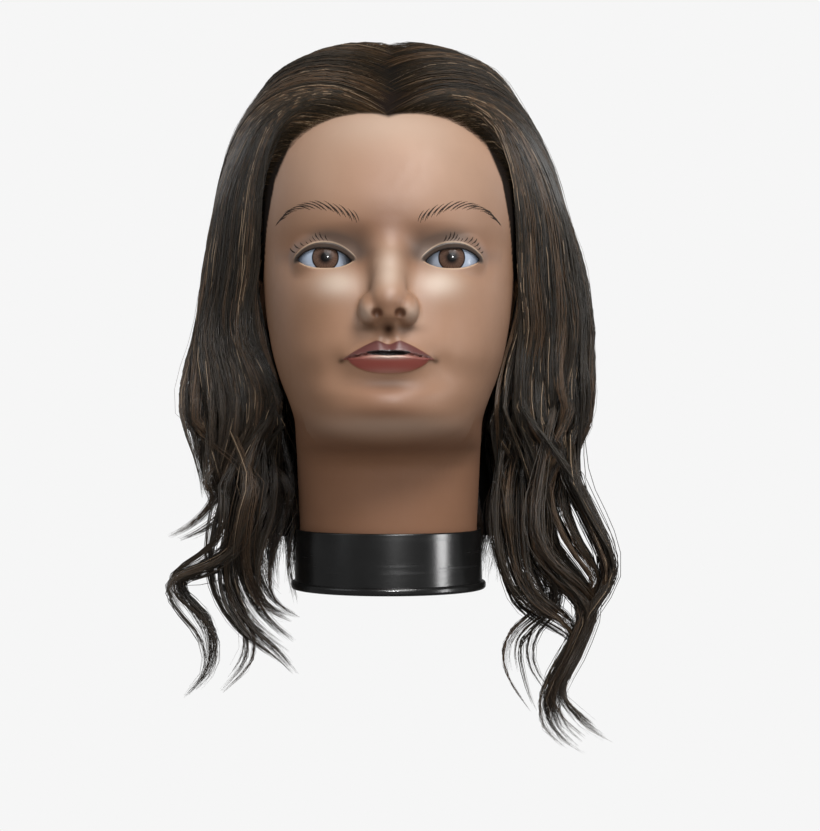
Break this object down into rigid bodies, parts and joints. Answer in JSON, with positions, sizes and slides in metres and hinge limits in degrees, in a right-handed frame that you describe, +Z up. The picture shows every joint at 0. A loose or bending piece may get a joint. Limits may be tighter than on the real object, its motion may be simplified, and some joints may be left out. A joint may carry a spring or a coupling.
{
  "type": "mannequin training head",
  "caption": "Hairdressing practice head with a made-up face, long dark hair waved at the ends, and a black neck collar with a blind clamp socket.",
  "frame": {"origin": "centre of the clamp socket's mouth, in the underside of the neck; most of the hair's ends hang below it", "axes": "+Z up through the neck to the crown, -Y the way the face looks, +X towards the right-hand side of someone who faces it"},
  "size_m": [0.2452, 0.2207, 0.382],
  "materials": {
    "skin": "satin",
    "foam": "matte",
    "collar": "gloss",
    "base": "satin",
    "screw": "satin",
    "eye": "gloss",
    "iris": "gloss",
    "hair": "satin"
  },
  "bodies": {
    "head": {"head_skin": "skin", "skull_foam": "foam", "neck_block": "foam", "neck_collar": "collar", "base_plate": "base", "base_screws": "screw", "socket_tube": "base", "socket_cap": "base", "eye_left": "eye", "eye_right": "eye", "iris_left": "iris", "iris_right": "iris", "hair_top_left": "hair", "hair_top_right": "hair", "hair_crown": "hair"},
    "left_curtain": {"hair_side_left": "hair", "lock_left_outer": "hair", "lock_left_middle": "hair", "lock_left_inner": "hair"},
    "right_curtain": {"hair_side_right": "hair", "lock_right_outer": "hair", "lock_right_middle": "hair", "lock_right_inner": "hair"},
    "back_curtain": {"hair_back_left": "hair", "hair_back_right": "hair"}
  },
  "joints": [
    {"name": "left_hair_swing", "type": "hinge", "parent": "head", "child": "left_curtain", "pos_m": [-0.078, 0.016, 0.1895], "axis": [0, 1, 0], "range_deg": [0, 20]},
    {"name": "right_hair_swing", "type": "hinge", "parent": "head", "child": "right_curtain", "pos_m": [0.08, 0.016, 0.1895], "axis": [0, -1, 0], "range_deg": [0, 20]},
    {"name": "back_hair_swing", "type": "hinge", "parent": "head", "child": "back_curtain", "pos_m": [0, 0.067, 0.1895], "axis": [1, 0, 0], "range_deg": [0, 20]}
  ]
}
